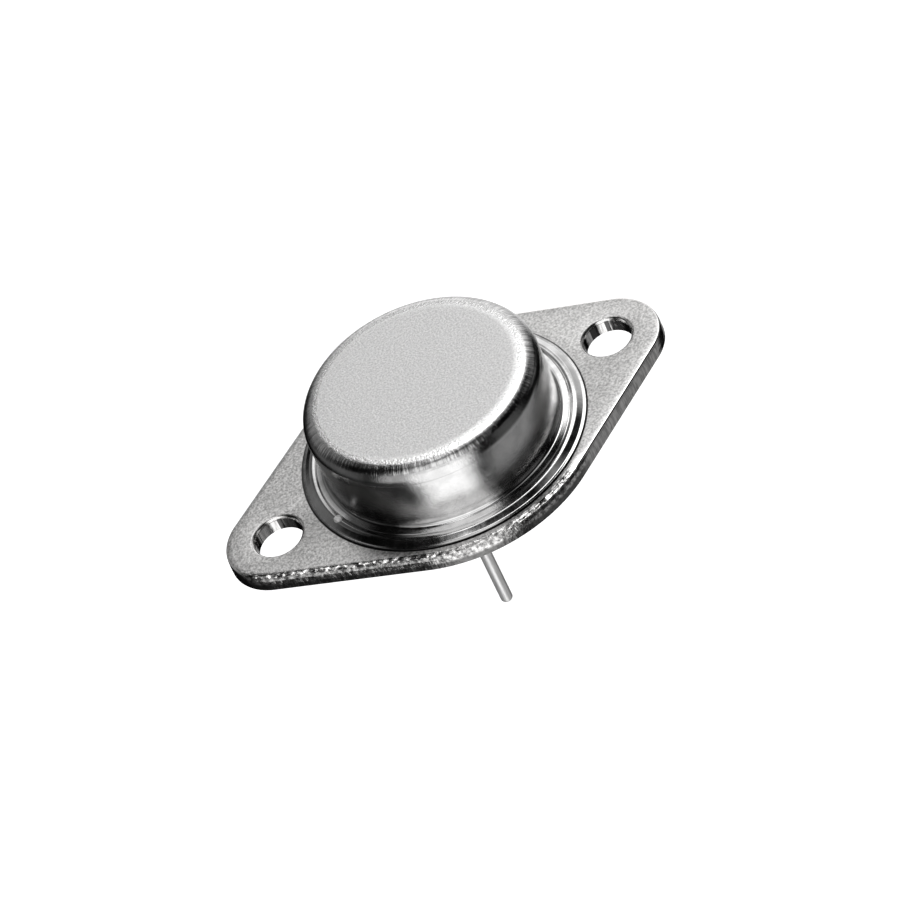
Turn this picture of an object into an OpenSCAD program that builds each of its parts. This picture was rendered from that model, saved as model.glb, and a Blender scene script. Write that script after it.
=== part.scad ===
// Power transistor in a two-lead metal can: a steel cap welded on a diamond-shaped base plate.
// Lengths are in millimetres. The origin is the centre of the seating plane, the base plate's
// underside. +Z runs up through the cap, and +X along the line of the two mounting holes.
// The two leads stand on the -X side of the centre, so the part fits its socket one way only.

/* [Cap] */
// Outside diameter of the cap's wall
cap_d = 19.4; // [17:0.1:26]
// Height of the cap above the base plate
cap_h = 6.4; // [5:0.1:12]
// Thickness of the cap's sheet
cap_sheet = 0.4; // [0.3:0.01:0.6]
// Outside radius of the cap's drawn top edge
cap_corner = 1.35; // [0.8:0.05:2]
// Outside radius of the bend between the cap's wall and its flange
cap_foot = 0.35; // [0.2:0.05:0.5]

/* [Cap flange] */
// Flat band between the bend and the coining groove
band_w = 0.5; // [0.3:0.05:0.8]
// Width of the coining groove
groove_w = 0.12; // [0.08:0.01:0.2]
// Depth of the coining groove
groove_depth = 0.07; // [0.03:0.01:0.12]
// Distance from the groove to the crest outside it
crest_w = 0.2; // [0.1:0.01:0.3]
// Height of the crest over the flat band
crest_h = 0.03; // [0.01:0.01:0.08]
// Width of the slope that the weld electrode pressed
slope_w = 0.7; // [0.4:0.05:1.2]
// Width of the thin lip at the rim
lip_w = 0.25; // [0.15:0.01:0.5]
// Thickness of the lip
lip_t = 0.12; // [0.08:0.01:0.2]

/* [Base plate] */
// Thickness of the base plate
plate_t = 1.3; // [1:0.1:3.4]
// Plate left outside the cap's flange, at the waist
plate_margin = 1.0; // [0.5:0.05:3]
// Rounding that the punch left along the plate's top edge
plate_roll = 0.2; // [0.1:0.05:0.4]

/* [Mounting holes] */
// Diameter of a mounting hole
hole_d = 3.9; // [3.2:0.1:4.6]
// Gap between the cap's flange and a mounting hole, for a screw head
screw_gap = 1.425; // [1:0.025:4]
// Plate left round a mounting hole, at the plate's ends
hole_wall = 2.45; // [1.5:0.05:4]
// Rounding of a mounting hole's top edge
hole_roll = 0.2; // [0.1:0.05:0.4]

/* [Leads] */
// Diameter of a lead below the plate
lead_d = 1.0; // [0.6:0.05:1.6]
// Length of a lead below the seating plane
lead_len = 12.4; // [6:0.1:20]
// Distance between the two leads
lead_pitch = 10.92; // [9:0.01:13.2]
// Distance of the leads' row from the centre, towards -X
row_offset = 1.815; // [0:0.005:3]
// Rounding of a lead's tip
tip_round = 0.3; // [0.1:0.05:0.3]
// Diameter of the flat head that a wire is bonded to
head_d = 1.7; // [1.2:0.1:2.4]
// Thickness of the head
head_t = 0.3; // [0.2:0.05:0.5]

/* [Glass seals] */
// Diameter of a glass seal
seal_d = 3.3; // [2.6:0.1:4]
// Depth of the hollow in the seal's two faces
seal_dip = 0.12; // [0.05:0.01:0.2]
// How much thinner a lead is where it enters the glass, on the radius
seal_step = 0.01; // [0.005:0.005:0.02]
// Further narrowing of the lead through the glass, on the radius
seal_taper = 0.01; // [0.005:0.005:0.02]

/* [Heat spreader] */
// Length of the copper spreader along X
spreader_l = 8; // [7:0.5:9]
// Thickness of the spreader
spreader_t = 1.0; // [0.6:0.1:1.5]
// Corner radius of the spreader
spreader_corner = 0.8; // [0.3:0.1:1.2]
// Gap between the spreader and the glass seals
spreader_gap = 0.31; // [0.2:0.01:0.6]
// Distance of the spreader's centre from the plate's centre, towards +X
spreader_shift = 1.2; // [0:0.1:2]
// Thickness of the braze under the spreader
braze_t = 0.05; // [0.03:0.01:0.1]
// How far the braze shows round the spreader
braze_margin = 0.12; // [0.05:0.01:0.18]

/* [Die] */
// Thickness of the silicon die
die_t = 0.25; // [0.15:0.05:0.4]
// Thickness of the solder under the die
solder_t = 0.08; // [0.04:0.01:0.15]
// How far the solder shows round the die
solder_margin = 0.1; // [0.05:0.01:0.15]
// Spreader left bare round the coating
coat_margin = 0.2; // [0.1:0.05:0.4]
// Coating past the die's corners
coat_cover = 0.75; // [0.6:0.05:1]
// Height of the coating over the spreader
coat_h = 1.2; // [1:0.05:1.6]

/* [Bond wires] */
// Diameter of an emitter wire
emitter_wire_d = 0.38; // [0.25:0.01:0.5]
// Diameter of the base wire
base_wire_d = 0.25; // [0.15:0.01:0.38]
// Distance between the two emitter wires on the die
wire_pitch = 1.5; // [1:0.1:2]
// Distance between the two emitter wires on the lead's head
wire_pinch = 0.8; // [0.75:0.05:0.9]
// Rise of a wire's arch over its ends
wire_rise = 1.3; // [1.2:0.1:1.8]
// Length of the flattened foot at a wire's end
wire_foot_l = 0.7; // [0.5:0.05:0.8]

/* [Hidden] */
$fn = 96;

nickel = "lightgray";
bright_nickel = "silver";
over = 1; // how far a cutter runs past what it cuts
roll_depth = 0.9; // share of its radius that a roll goes down from the plate's top
edge_inset = 0.005; // how far a straight edge lies inside the rounds that it joins

// Cap and flange, from the wall outwards
cap_r = cap_d / 2;
inside_r = cap_r - cap_sheet;
band_r = cap_r + cap_foot + band_w;
crest_r = band_r + crest_w;
slope_r = crest_r + slope_w;
flange_r = slope_r + lip_w;

// Base plate: a round body, and a lobe round each mounting hole
body_r = flange_r + plate_margin;
hole_x = flange_r + screw_gap + hole_d / 2;
lobe_r = hole_d / 2 + hole_wall;
edge_angle = acos((body_r - lobe_r) / hole_x); // direction in which a straight edge faces
edge_l = hole_x * sin(edge_angle);

// Leads and seals
lead_r = lead_d / 2;
lead_y = lead_pitch / 2;
seal_r = seal_d / 2;
sealed_r = lead_r - seal_step;
post_r = sealed_r - seal_taper;

// Stack on the plate, from the plate's top upwards
spreader_w = lead_pitch - seal_d - 2 * spreader_gap;
spreader_z = plate_t + braze_t;
spreader_top = spreader_z + spreader_t;
die_z = spreader_top + solder_t;
die_top = die_z + die_t;
coat_r = min(spreader_w, spreader_l) / 2 - coat_margin;
die_w = (coat_r - coat_cover) * sqrt(2);
coat_sphere = (coat_r ^ 2 + coat_h ^ 2) / (2 * coat_h);

// Where the wires land, in plan
pad_y = die_w / 4;
emitter_pad = [spreader_shift, pad_y];
base_pad = [spreader_shift - die_w / 4, -pad_y];
emitter_post = [-row_offset, lead_y];
base_post = [-row_offset, -lead_y];

// A flat-topped section with its outer top corner rounded
module rolled_section(w, h, roll) {
    square([w, h - roll]);
    square([w - roll, h]);
    translate([w - roll, h - roll]) intersection() {
        circle(roll);
        square(roll);
    }
}

// The plate's section from its middle out to its rolled edge. A roll stops a little short of the
// plate's top, which it meets at a slight angle.
module plate_section(w) {
    difference() {
        square([w, plate_t]);
        translate([w - plate_roll, plate_t - roll_depth * plate_roll]) difference() {
            square(plate_roll + over);
            circle(plate_roll);
        }
    }
}

module plate_round(r) {
    rotate_extrude() plate_section(r);
}

// The straight stretch of the plate's edge, from a lobe back to the body
module plate_edge() {
    translate([hole_x, 0, 0]) rotate([0, 0, edge_angle]) rotate([90, 0, 180])
        mirror([1, 0, 0]) linear_extrude(edge_l) plate_section(lobe_r - edge_inset);
}

// The plate's middle, which runs into the rounds and the straight edges
module plate_core() {
    x = hole_x + lobe_r / 2;
    y = body_r - lobe_r / 4;
    linear_extrude(plate_t) polygon([[x, 0], [0, y], [-x, 0], [0, -y]]);
}

// A hole's cutter, with the roll of its top edge
module hole_cutter() {
    hole_r = hole_d / 2;
    depth = roll_depth * hole_roll;
    rotate_extrude() {
        translate([0, -over]) square([hole_r, plate_t + 2 * over]);
        translate([0, plate_t - depth]) difference() {
            square([hole_r + hole_roll, depth + over]);
            translate([hole_r + hole_roll, 0]) circle(hole_roll);
        }
    }
}

module base_plate() {
    color(nickel) difference() {
        union() {
            plate_round(body_r);
            plate_core();
            for (side = [0, 180]) rotate([0, 0, side]) {
                translate([hole_x, 0, 0]) plate_round(lobe_r);
                plate_edge();
                mirror([0, 1, 0]) plate_edge();
            }
        }
        for (side = [-1, 1]) translate([side * hole_x, 0, 0]) hole_cutter();
        for (side = [-1, 1]) translate([-row_offset, side * lead_y, -over])
            cylinder(r = seal_r, h = plate_t + 2 * over);
    }
}

// The fillet outside the bend, run on into the wall and the flange
module foot_section() {
    run_on = cap_sheet / 2;
    difference() {
        translate([cap_r - run_on, cap_sheet - run_on]) square(cap_foot + run_on);
        translate([cap_r + cap_foot, cap_sheet + cap_foot]) circle(cap_foot);
    }
}

// The flange: flat band, coining groove, crest, pressed slope and lip
module flange_section() {
    polygon([
        [inside_r / 2, 0],
        [flange_r, 0],
        [flange_r, lip_t],
        [slope_r, lip_t],
        [crest_r, cap_sheet + crest_h],
        [band_r, cap_sheet],
        [band_r - groove_w / 2, cap_sheet - groove_depth],
        [band_r - groove_w, cap_sheet],
        [inside_r / 2, cap_sheet],
    ]);
}

// The space inside the cap, with the flare at its mouth
module cap_space() {
    bend = cap_foot + cap_sheet;
    translate([0, -over]) rolled_section(inside_r, cap_h - cap_sheet + over, cap_corner - cap_sheet);
    difference() {
        translate([inside_r / 2, -over]) square([inside_r / 2 + bend, bend + over]);
        translate([inside_r + bend, bend]) circle(bend);
    }
}

module cap() {
    color(bright_nickel) translate([0, 0, plate_t]) rotate_extrude() difference() {
        union() {
            rolled_section(cap_r, cap_h, cap_corner);
            foot_section();
            flange_section();
        }
        cap_space();
    }
}

// A lead: free end, narrower stretch in the glass, post and head, which ends level with the die
module lead(side) {
    color(nickel) translate([-row_offset, side * lead_y, 0]) {
        mirror([0, 0, 1]) rotate_extrude() rolled_section(lead_r, lead_len, tip_round);
        cylinder(h = plate_t, r1 = sealed_r, r2 = post_r);
        translate([0, 0, plate_t]) cylinder(h = die_top - plate_t, r = post_r);
        translate([0, 0, die_top - head_t]) cylinder(h = head_t, d = head_d);
    }
}

// A glass bead fused between a lead and the plate, hollow on both faces
module glass_seal(side) {
    span = seal_r - sealed_r;
    dip_r = (span ^ 2 / 4 + seal_dip ^ 2) / (2 * seal_dip);
    dip_x = (seal_r + sealed_r) / 2;
    color("darkslategray") translate([-row_offset, side * lead_y, 0]) rotate_extrude() difference() {
        polygon([[sealed_r, 0], [seal_r, 0], [seal_r, plate_t], [post_r, plate_t]]);
        translate([dip_x, seal_dip - dip_r]) circle(dip_r);
        translate([dip_x, plate_t - seal_dip + dip_r]) circle(dip_r);
    }
}

// A flat block with round corners, on the spreader's centre
module rounded_block(l, w, h, corner) {
    linear_extrude(h) {
        square([l - 2 * corner, w], center = true);
        square([l, w - 2 * corner], center = true);
        for (x = [-1, 1], y = [-1, 1])
            translate([x * (l / 2 - corner), y * (w / 2 - corner)]) circle(corner);
    }
}

module spreader_braze() {
    grow = 2 * braze_margin;
    color("gainsboro") translate([spreader_shift, 0, plate_t])
        rounded_block(spreader_l + grow, spreader_w + grow, braze_t, spreader_corner + braze_margin);
}

module heat_spreader() {
    color("peru") translate([spreader_shift, 0, spreader_z])
        rounded_block(spreader_l, spreader_w, spreader_t, spreader_corner);
}

module square_layer(w, z, t) {
    translate([spreader_shift - w / 2, -w / 2, z]) cube([w, w, t]);
}

module die_solder() {
    color("darkgray") square_layer(die_w + 2 * solder_margin, spreader_top, solder_t);
}

module silicon_die() {
    color("dimgray") square_layer(die_w, die_z, die_t);
}

// A bonded wire: an arch between two points level with the die's top, with a flat foot at each end
module bond_wire(start, end, d) {
    run = end - start;
    span = norm(run);
    arch_r = (span ^ 2 / 4 + wire_rise ^ 2) / (2 * wire_rise);
    foot_t = d / 2;
    color("whitesmoke") translate([start.x, start.y, die_top]) rotate([0, 0, atan2(run.y, run.x)]) {
        intersection() {
            translate([span / 2, 0, wire_rise - arch_r]) rotate([90, 0, 0])
                rotate_extrude() translate([arch_r, 0]) circle(d = d);
            translate([-d, -d, 0]) cube([span + 2 * d, 2 * d, wire_rise + d]);
        }
        for (x = [0, span]) translate([x - wire_foot_l / 2, -d * 0.8, 0])
            cube([wire_foot_l, d * 1.6, foot_t]);
    }
}

module emitter_wire(side) {
    bond_wire(emitter_pad + [side * wire_pitch / 2, 0], emitter_post + [side * wire_pinch / 2, 0],
        emitter_wire_d);
}

module emitter_wire_outer() {
    emitter_wire(-1);
}

module emitter_wire_inner() {
    emitter_wire(1);
}

module base_wire() {
    bond_wire(base_pad, base_post, base_wire_d);
}

module die_coating() {
    color("mintcream") difference() {
        translate([spreader_shift, 0, spreader_top]) intersection() {
            translate([0, 0, coat_h - coat_sphere]) sphere(coat_sphere);
            cylinder(r = coat_r + over, h = coat_h + over);
        }
        die_solder();
        silicon_die();
        emitter_wire_outer();
        emitter_wire_inner();
        base_wire();
    }
}

base_plate();
cap();
glass_seal(1);  // emitter_glass_seal
glass_seal(-1);  // base_glass_seal
lead(1);  // emitter_lead
lead(-1);  // base_lead
spreader_braze();
heat_spreader();
die_solder();
silicon_die();
emitter_wire_outer();
emitter_wire_inner();
base_wire();
die_coating();
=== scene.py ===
"""A power transistor in a two-lead metal can: drawn cap, punched base plate, leads in glass seals.

Lengths are in metres. The origin is the centre of the seating plane, +Z runs up through the cap and
+X along the line of the two mounting holes.
"""

from math import acos, atan2, cos, hypot, pi, radians, sin

import bmesh
import bpy
from bpy.props import FloatProperty, FloatVectorProperty, IntProperty, PointerProperty
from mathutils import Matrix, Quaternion, Vector


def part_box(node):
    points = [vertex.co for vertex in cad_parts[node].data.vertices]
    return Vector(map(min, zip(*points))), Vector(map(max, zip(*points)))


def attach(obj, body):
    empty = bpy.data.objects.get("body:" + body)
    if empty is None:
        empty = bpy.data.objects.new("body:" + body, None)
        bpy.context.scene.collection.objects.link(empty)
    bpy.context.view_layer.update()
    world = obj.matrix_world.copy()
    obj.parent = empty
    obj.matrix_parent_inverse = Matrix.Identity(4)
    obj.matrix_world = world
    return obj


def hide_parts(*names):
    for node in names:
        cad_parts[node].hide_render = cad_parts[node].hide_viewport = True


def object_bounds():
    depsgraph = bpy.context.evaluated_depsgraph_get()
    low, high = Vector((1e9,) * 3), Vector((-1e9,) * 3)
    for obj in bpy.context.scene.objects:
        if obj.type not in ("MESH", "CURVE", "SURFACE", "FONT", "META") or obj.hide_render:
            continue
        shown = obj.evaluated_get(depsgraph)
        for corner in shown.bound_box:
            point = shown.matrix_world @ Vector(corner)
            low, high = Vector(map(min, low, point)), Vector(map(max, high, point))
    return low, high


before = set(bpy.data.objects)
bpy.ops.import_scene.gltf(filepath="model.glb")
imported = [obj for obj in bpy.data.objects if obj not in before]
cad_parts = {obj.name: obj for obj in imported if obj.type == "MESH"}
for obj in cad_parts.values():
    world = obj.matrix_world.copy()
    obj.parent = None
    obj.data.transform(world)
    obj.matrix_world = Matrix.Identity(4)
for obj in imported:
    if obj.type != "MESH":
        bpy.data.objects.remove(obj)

bl_info = {
    "name": "Power Transistor",
    "version": (1, 0, 0),
    "blender": (4, 5, 0),
    "location": "3D View > Sidebar > Transistor",
    "description": "Models a power transistor in a two-lead metal can and finishes its pieces",
    "category": "Object",
}

CAD_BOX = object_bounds()
MM = 0.001
SAME_PLACE = 0.001 * MM  # points closer than this count as being in one place
WORN_SIDE = (0.95 * MM, 0.5 * MM)  # how far in from the plate's side its wear starts, and is full
WORN_ROUND = (0.74, 0.86)  # the same on its front round, as shares of the plate's half width


def size(name, mm, text):
    """A length that a user would change, given in millimetres."""
    return FloatProperty(
        name=name, description=text, default=mm * MM, min=0.0, subtype="DISTANCE", unit="LENGTH", precision=6)


def share(name, value, text):
    """A number from 0 to 1 that a user would change."""
    return FloatProperty(name=name, description=text, default=value, min=0.0, max=1.0)


def tint(name, value, text):
    """A colour that a user would change."""
    return FloatVectorProperty(
        name=name, description=text, default=value, size=3, min=0.0, max=1.0, subtype="COLOR")


class CapSizes(bpy.types.PropertyGroup):
    """Sizes of the drawn cap and its flange."""

    wall_radius: size("Wall radius", 9.7, "Outside radius of the wall")
    sheet: size("Sheet", 0.4, "Thickness of the steel sheet")
    spatter: size("Spatter", 0.33, "Radius of the bead that the welding threw on the flange")
    spatter_rise: size("Spatter rise", 0.08, "Height of the bead's middle over the flange")
    spatter_at: FloatVectorProperty(
        name="Spatter place", description="Where the bead lies on the flange", size=2, subtype="XYZ",
        unit="LENGTH", default=(-10.5 * MM, -2.35 * MM))
    rim_drop: size("Rim drop", 0.12, "How far the top falls away towards its corner")
    corner: size("Corner", 1.35, "Outside radius of the drawn top edge")
    foot: size("Foot", 0.35, "Outside radius of the bend into the flange")
    crease: size("Crease", 0.025, "Depth of the draw line under the corner")
    crown: size("Crown", 0.55, "Rounding where the flat top begins to fall away")
    band: size("Band", 0.5, "Flat band between the bend and the groove")
    groove: size("Groove", 0.16, "Width of the coining groove")
    groove_depth: size("Groove depth", 0.1, "Depth of the coining groove")
    crest: size("Crest", 0.2, "Distance from the groove to the crest")
    crest_height: size("Crest height", 0.03, "Height of the crest over the band")
    slope: size("Slope", 0.7, "Width of the slope that the weld electrode pressed")
    lip: size("Lip", 0.12, "Thickness of the lip at the rim")
    lip_gap: size("Lip gap", 0.05, "Gap under the rim, outside the weld")
    wave: size("Wave", 0.004, "Unevenness that drawing left in the wall")
    steps: IntProperty(name="Steps", description="Faces round the cap", default=288, min=48)


class PlateSizes(bpy.types.PropertyGroup):
    """Sizes of the punched base plate."""

    lobe_radius: size("Lobe radius", 4.4, "Radius of the round end of the plate")
    hole_radius: size("Hole radius", 1.95, "Radius of a mounting hole")
    roll: size("Roll", 0.2, "Rounding that the punch left along the top edge")
    band: size("Band", 0.42, "Width of the pressed band inside the top edge")
    sink: size("Sink", 0.03, "How far the top sinks towards the outline")
    tear: size("Tear", 0.13, "Depth of the torn marks along the edge")
    hole_roll: size("Hole roll", 0.34, "Rounding at the top of the mounting holes")
    drag: size("Drag", 0.05, "How far the punch dragged the side's upper half inwards")
    step: size("Step", 0.15, "Length of a face along the edge")


class LeadSizes(bpy.types.PropertyGroup):
    """Sizes of the leads and of the glass round them."""

    radius: size("Lead radius", 0.5, "Radius of a lead below the plate")
    neck: size("Neck radius", 0.485, "Radius of a lead in the glass and above it")
    tip: size("Tip", 0.3, "Rounding of a lead's tip")
    head: size("Head thickness", 0.3, "Thickness of the flat head")
    dip: size("Dip", 0.12, "Depth of the hollow in the glass's two faces")
    steps: IntProperty(name="Steps", description="Faces round a lead or seal", default=64, min=16)


class Finishes(bpy.types.PropertyGroup):
    """Colours and gloss of the pieces."""

    plate: tint("Plate", (0.53, 0.525, 0.52), "Matte nickel on the plate")
    cap: tint("Cap", (0.78, 0.777, 0.775), "Nickel on the cap")
    lead: tint("Lead", (0.84, 0.835, 0.83), "Nickel on the leads")
    glass: tint("Glass", (0.035, 0.06, 0.055), "Glass of the seals")
    plate_roughness: share("Plate roughness", 0.36, "Roughness of the plate's top")
    top_roughness: share("Top roughness", 0.55, "Roughness of the cap's top")
    wall_roughness: share("Wall roughness", 0.14, "Roughness of the cap's wall")


class StageSettings(bpy.types.PropertyGroup):
    """Camera, floor and light."""

    ambient: share("Ambient", 0.003, "Strength of the room's light between the windows")
    azimuth: FloatProperty(
        name="Azimuth", description="Direction in which the camera looks, from +Y towards -X",
        default=radians(-7.908), subtype="ANGLE")
    elevation: FloatProperty(
        name="Elevation", description="Camera's height above the horizon", default=radians(42.62),
        subtype="ANGLE")
    roll: FloatProperty(
        name="Roll", description="Camera's lean, its right side downwards", default=radians(25.84),
        subtype="ANGLE")
    aim: FloatVectorProperty(
        name="Aim", description="What the camera looks at", size=3, subtype="XYZ", unit="LENGTH",
        default=(-0.04 * MM, -0.2 * MM, -0.2 * MM), precision=6)
    distance: size("Distance", 244.9, "From the camera to what it looks at")
    lens: FloatProperty(name="Lens", description="Focal length in millimetres", default=125.14)
    sensor: FloatProperty(name="Sensor", description="Width of the sensor in millimetres", default=36.0)
    floor_size: size("Floor size", 4000.0, "Length of the floor's side")
    floor_drop: size("Floor drop", 40.0, "From the tips of the leads down to the floor")


def settings():
    return bpy.context.scene.transistor


# Modelling helpers


def leave_edit():
    if bpy.context.object and bpy.context.object.mode != "OBJECT":
        bpy.ops.object.mode_set(mode="OBJECT")
    bpy.ops.object.select_all(action="DESELECT")


def edit():
    bpy.ops.object.mode_set(mode="EDIT")
    bpy.ops.mesh.select_mode(type="VERT")


def pick(kind, test):
    """Selects the verts, edges or faces that pass the test, and nothing else."""
    mesh = bpy.context.object.data
    bpy.ops.mesh.select_mode(type={"verts": "VERT", "edges": "EDGE", "faces": "FACE"}[kind])
    bpy.ops.mesh.select_all(action="DESELECT")
    shape = bmesh.from_edit_mesh(mesh)
    found = [part for part in getattr(shape, kind) if test(part)]
    if not found:
        raise RuntimeError(f"{bpy.context.object.name}: nothing to select")
    for part in found:
        part.select_set(True)
    shape.select_flush_mode()
    bmesh.update_edit_mesh(mesh)


def near(value, target, slack=SAME_PLACE):
    return abs(value - target) < slack


def part_way(value, start, end):
    """How far the value has come from start to end, from 0 to 1."""
    return max(0.0, min(1.0, (value - start) / (end - start)))


def ring_at(radius, height):
    """A test for the edges of the ring at that radius and height."""
    def test(edge):
        return all(near(hypot(v.co.x, v.co.y), radius) and near(v.co.z, height) for v in edge.verts)
    return test


def extrude_ring(ratio, rise):
    """Draws the selected ring out to a new radius and height."""
    bpy.ops.mesh.extrude_region_move(TRANSFORM_OT_translate={"value": (0, 0, rise)})
    bpy.ops.transform.resize(value=(ratio, ratio, 1), center_override=(0, 0, 0))


def turned(name, profile, steps, closed=False):
    """A round piece, drawn ring by ring through (radius, height) points from a circle."""
    leave_edit()
    start = profile[0]
    bpy.ops.mesh.primitive_circle_add(
        vertices=steps, radius=start[0], location=(0, 0, start[1]), fill_type="NOTHING")
    piece = bpy.context.object
    piece.name = piece.data.name = name
    bpy.ops.object.transform_apply()
    edit()
    bpy.ops.mesh.select_all(action="SELECT")
    at = start
    for point in profile[1:]:
        extrude_ring(point[0] / at[0], point[1] - at[1])
        at = point
    if closed:
        bpy.ops.mesh.select_all(action="SELECT")
        bpy.ops.mesh.remove_doubles(threshold=0.1 * SAME_PLACE)
    return piece


def fill_end(radius, height):
    """Closes the open ring at that radius and height with a face."""
    at_ring = ring_at(radius, height)
    pick("edges", lambda edge: len(edge.link_faces) == 1 and at_ring(edge))
    bpy.ops.mesh.edge_face_add()


def bevel(rims):
    """Rounds rings of a turned piece, each given by radius, height, rounding and segments."""
    for radius, height, rounding, segments in rims:
        pick("edges", ring_at(radius, height))
        bpy.ops.mesh.bevel(
            offset=rounding, offset_type="OFFSET", segments=segments, profile=0.5, affect="EDGES",
            clamp_overlap=True)


def outward():
    bpy.ops.mesh.select_all(action="SELECT")
    bpy.ops.mesh.normals_make_consistent(inside=False)


def apply_modifiers(piece):
    leave_edit()
    bpy.context.view_layer.objects.active = piece
    piece.select_set(True)
    for modifier in list(piece.modifiers):
        bpy.ops.object.modifier_apply(modifier=modifier.name)


def wrinkle(piece, group, test, grain, depth, level):
    """Presses the part of the piece that passes the test inwards, evenly or with a grain."""
    leave_edit()
    bpy.context.view_layer.objects.active = piece
    members = piece.vertex_groups.new(name=group)
    for vertex in piece.data.vertices:
        weight = test(vertex.co)
        if weight > 0:
            members.add([vertex.index], weight, "REPLACE")
    press = piece.modifiers.new(group, "DISPLACE")
    if grain:
        pattern = bpy.data.textures.new(group, "CLOUDS")
        pattern.noise_scale = grain
        pattern.noise_depth = 2
        press.texture = pattern
    press.texture_coords = "LOCAL"
    press.vertex_group = members.name
    press.mid_level = level
    press.strength = depth if grain else -depth
    apply_modifiers(piece)


def finish_piece(piece, node, material, angle=35):
    """Shades the piece, gives it its finish and puts it in the place of its frame node."""
    leave_edit()
    bpy.context.view_layer.objects.active = piece
    piece.select_set(True)
    bpy.ops.object.shade_smooth_by_angle(angle=radians(angle))
    piece.data.materials.clear()
    piece.data.materials.append(material)
    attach(piece, "root")
    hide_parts(node)
    leave_edit()


# Material helpers


def new_material(name):
    material = bpy.data.materials.new(name)
    material.use_nodes = True
    return material, material.node_tree, material.node_tree.nodes["Principled BSDF"]


def add(tree, kind, inputs=(), **values):
    """A node with its values set, and its inputs set or linked by name or place."""
    node = tree.nodes.new(kind)
    for key, value in values.items():
        setattr(node, key, value)
    for key, value in dict(inputs).items():
        socket = node.inputs[key]
        if isinstance(value, bpy.types.NodeSocket):
            tree.links.new(value, socket)
        else:
            socket.default_value = value
    return node


def math(tree, operation, *terms):
    node = add(tree, "ShaderNodeMath", dict(enumerate(terms)), operation=operation)
    return node.outputs[0]


def times(tree, first, other):
    return math(tree, "MULTIPLY", first, other)


def ramp(tree, value, low, high, to_low=0.0, to_high=1.0):
    """Runs smoothly from to_low to to_high as the value goes from low to high."""
    node = add(tree, "ShaderNodeMapRange", {
        "Value": value, "From Min": low, "From Max": high, "To Min": to_low, "To Max": to_high,
    }, interpolation_type="SMOOTHSTEP")
    return node.outputs["Result"]


def blend_colour(tree, factor, first, second):
    node = add(tree, "ShaderNodeMix", data_type="RGBA")
    for socket, value in ((node.inputs[0], factor), (node.inputs[6], first), (node.inputs[7], second)):
        if isinstance(value, bpy.types.NodeSocket):
            tree.links.new(value, socket)
        else:
            socket.default_value = value if isinstance(value, float) else (*value, 1.0)[:4]
    return node.outputs[2]


def new_group(name, inputs, outputs):
    """A shader node group with its sockets, and its input and output nodes."""
    tree = bpy.data.node_groups.new(name, "ShaderNodeTree")
    for label, kind, default in inputs:
        socket = tree.interface.new_socket(label, in_out="INPUT", socket_type=kind)
        if default is not None:
            socket.default_value = default
    for label in outputs:
        tree.interface.new_socket(label, in_out="OUTPUT", socket_type="NodeSocketFloat")
    return tree, tree.nodes.new("NodeGroupInput"), tree.nodes.new("NodeGroupOutput")


def grain_group():
    """Fine blasted grain, with broad clouds over it."""
    name = "Blasted grain"
    if name in bpy.data.node_groups:
        return bpy.data.node_groups[name]
    tree, given, made = new_group(name, [
        ("Vector", "NodeSocketVector", None), ("Grain", "NodeSocketFloat", 6000.0),
        ("Cloud", "NodeSocketFloat", 500.0),
    ], ["Height", "Speck", "Cloud"])
    fine = add(tree, "ShaderNodeTexNoise", {
        "Vector": given.outputs["Vector"], "Scale": given.outputs["Grain"], "Detail": 3.0, "Roughness": 0.6})
    coarse = add(tree, "ShaderNodeTexNoise", {
        "Vector": given.outputs["Vector"], "Scale": times(tree, given.outputs["Grain"], 0.4),
        "Detail": 2.0})
    cloud = add(tree, "ShaderNodeTexNoise", {
        "Vector": given.outputs["Vector"], "Scale": given.outputs["Cloud"], "Detail": 3.0})
    height = math(tree, "ADD", fine.outputs["Fac"], coarse.outputs["Fac"])
    tree.links.new(height, made.inputs["Height"])
    tree.links.new(ramp(tree, fine.outputs["Fac"], 0.3, 0.7), made.inputs["Speck"])
    tree.links.new(ramp(tree, cloud.outputs["Fac"], 0.35, 0.65), made.inputs["Cloud"])
    return tree


def draw_marks_group():
    """Marks that run up a round wall, spaced round its axis."""
    name = "Draw marks"
    if name in bpy.data.node_groups:
        return bpy.data.node_groups[name]
    tree, given, made = new_group(name, [
        ("Vector", "NodeSocketVector", None), ("Marks", "NodeSocketFloat", 30.0),
        ("Length", "NodeSocketFloat", 300.0),
    ], ["Height", "Streak", "Radius", "Level"])
    parts = add(tree, "ShaderNodeSeparateXYZ", {0: given.outputs["Vector"]})
    flat = add(tree, "ShaderNodeCombineXYZ", {0: parts.outputs[0], 1: parts.outputs[1]})
    radius = add(tree, "ShaderNodeVectorMath", {0: flat.outputs[0]}, operation="LENGTH")
    round_it = add(tree, "ShaderNodeVectorMath", {0: flat.outputs[0]}, operation="NORMALIZE")
    spread = add(tree, "ShaderNodeVectorMath", {
        0: round_it.outputs[0], "Scale": given.outputs["Marks"]}, operation="SCALE")
    along = times(tree, parts.outputs[2], given.outputs["Length"])
    rise = add(tree, "ShaderNodeCombineXYZ", {2: along})
    place = add(tree, "ShaderNodeVectorMath", {0: spread.outputs[0], 1: rise.outputs[0]}, operation="ADD")
    marks = add(tree, "ShaderNodeTexNoise", {
        "Vector": place.outputs[0], "Scale": 1.0, "Detail": 3.0, "Roughness": 0.55})
    tree.links.new(marks.outputs["Fac"], made.inputs["Height"])
    tree.links.new(ramp(tree, marks.outputs["Fac"], 0.4, 0.62), made.inputs["Streak"])
    tree.links.new(radius.outputs["Value"], made.inputs["Radius"])
    tree.links.new(parts.outputs[2], made.inputs["Level"])
    return tree


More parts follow.
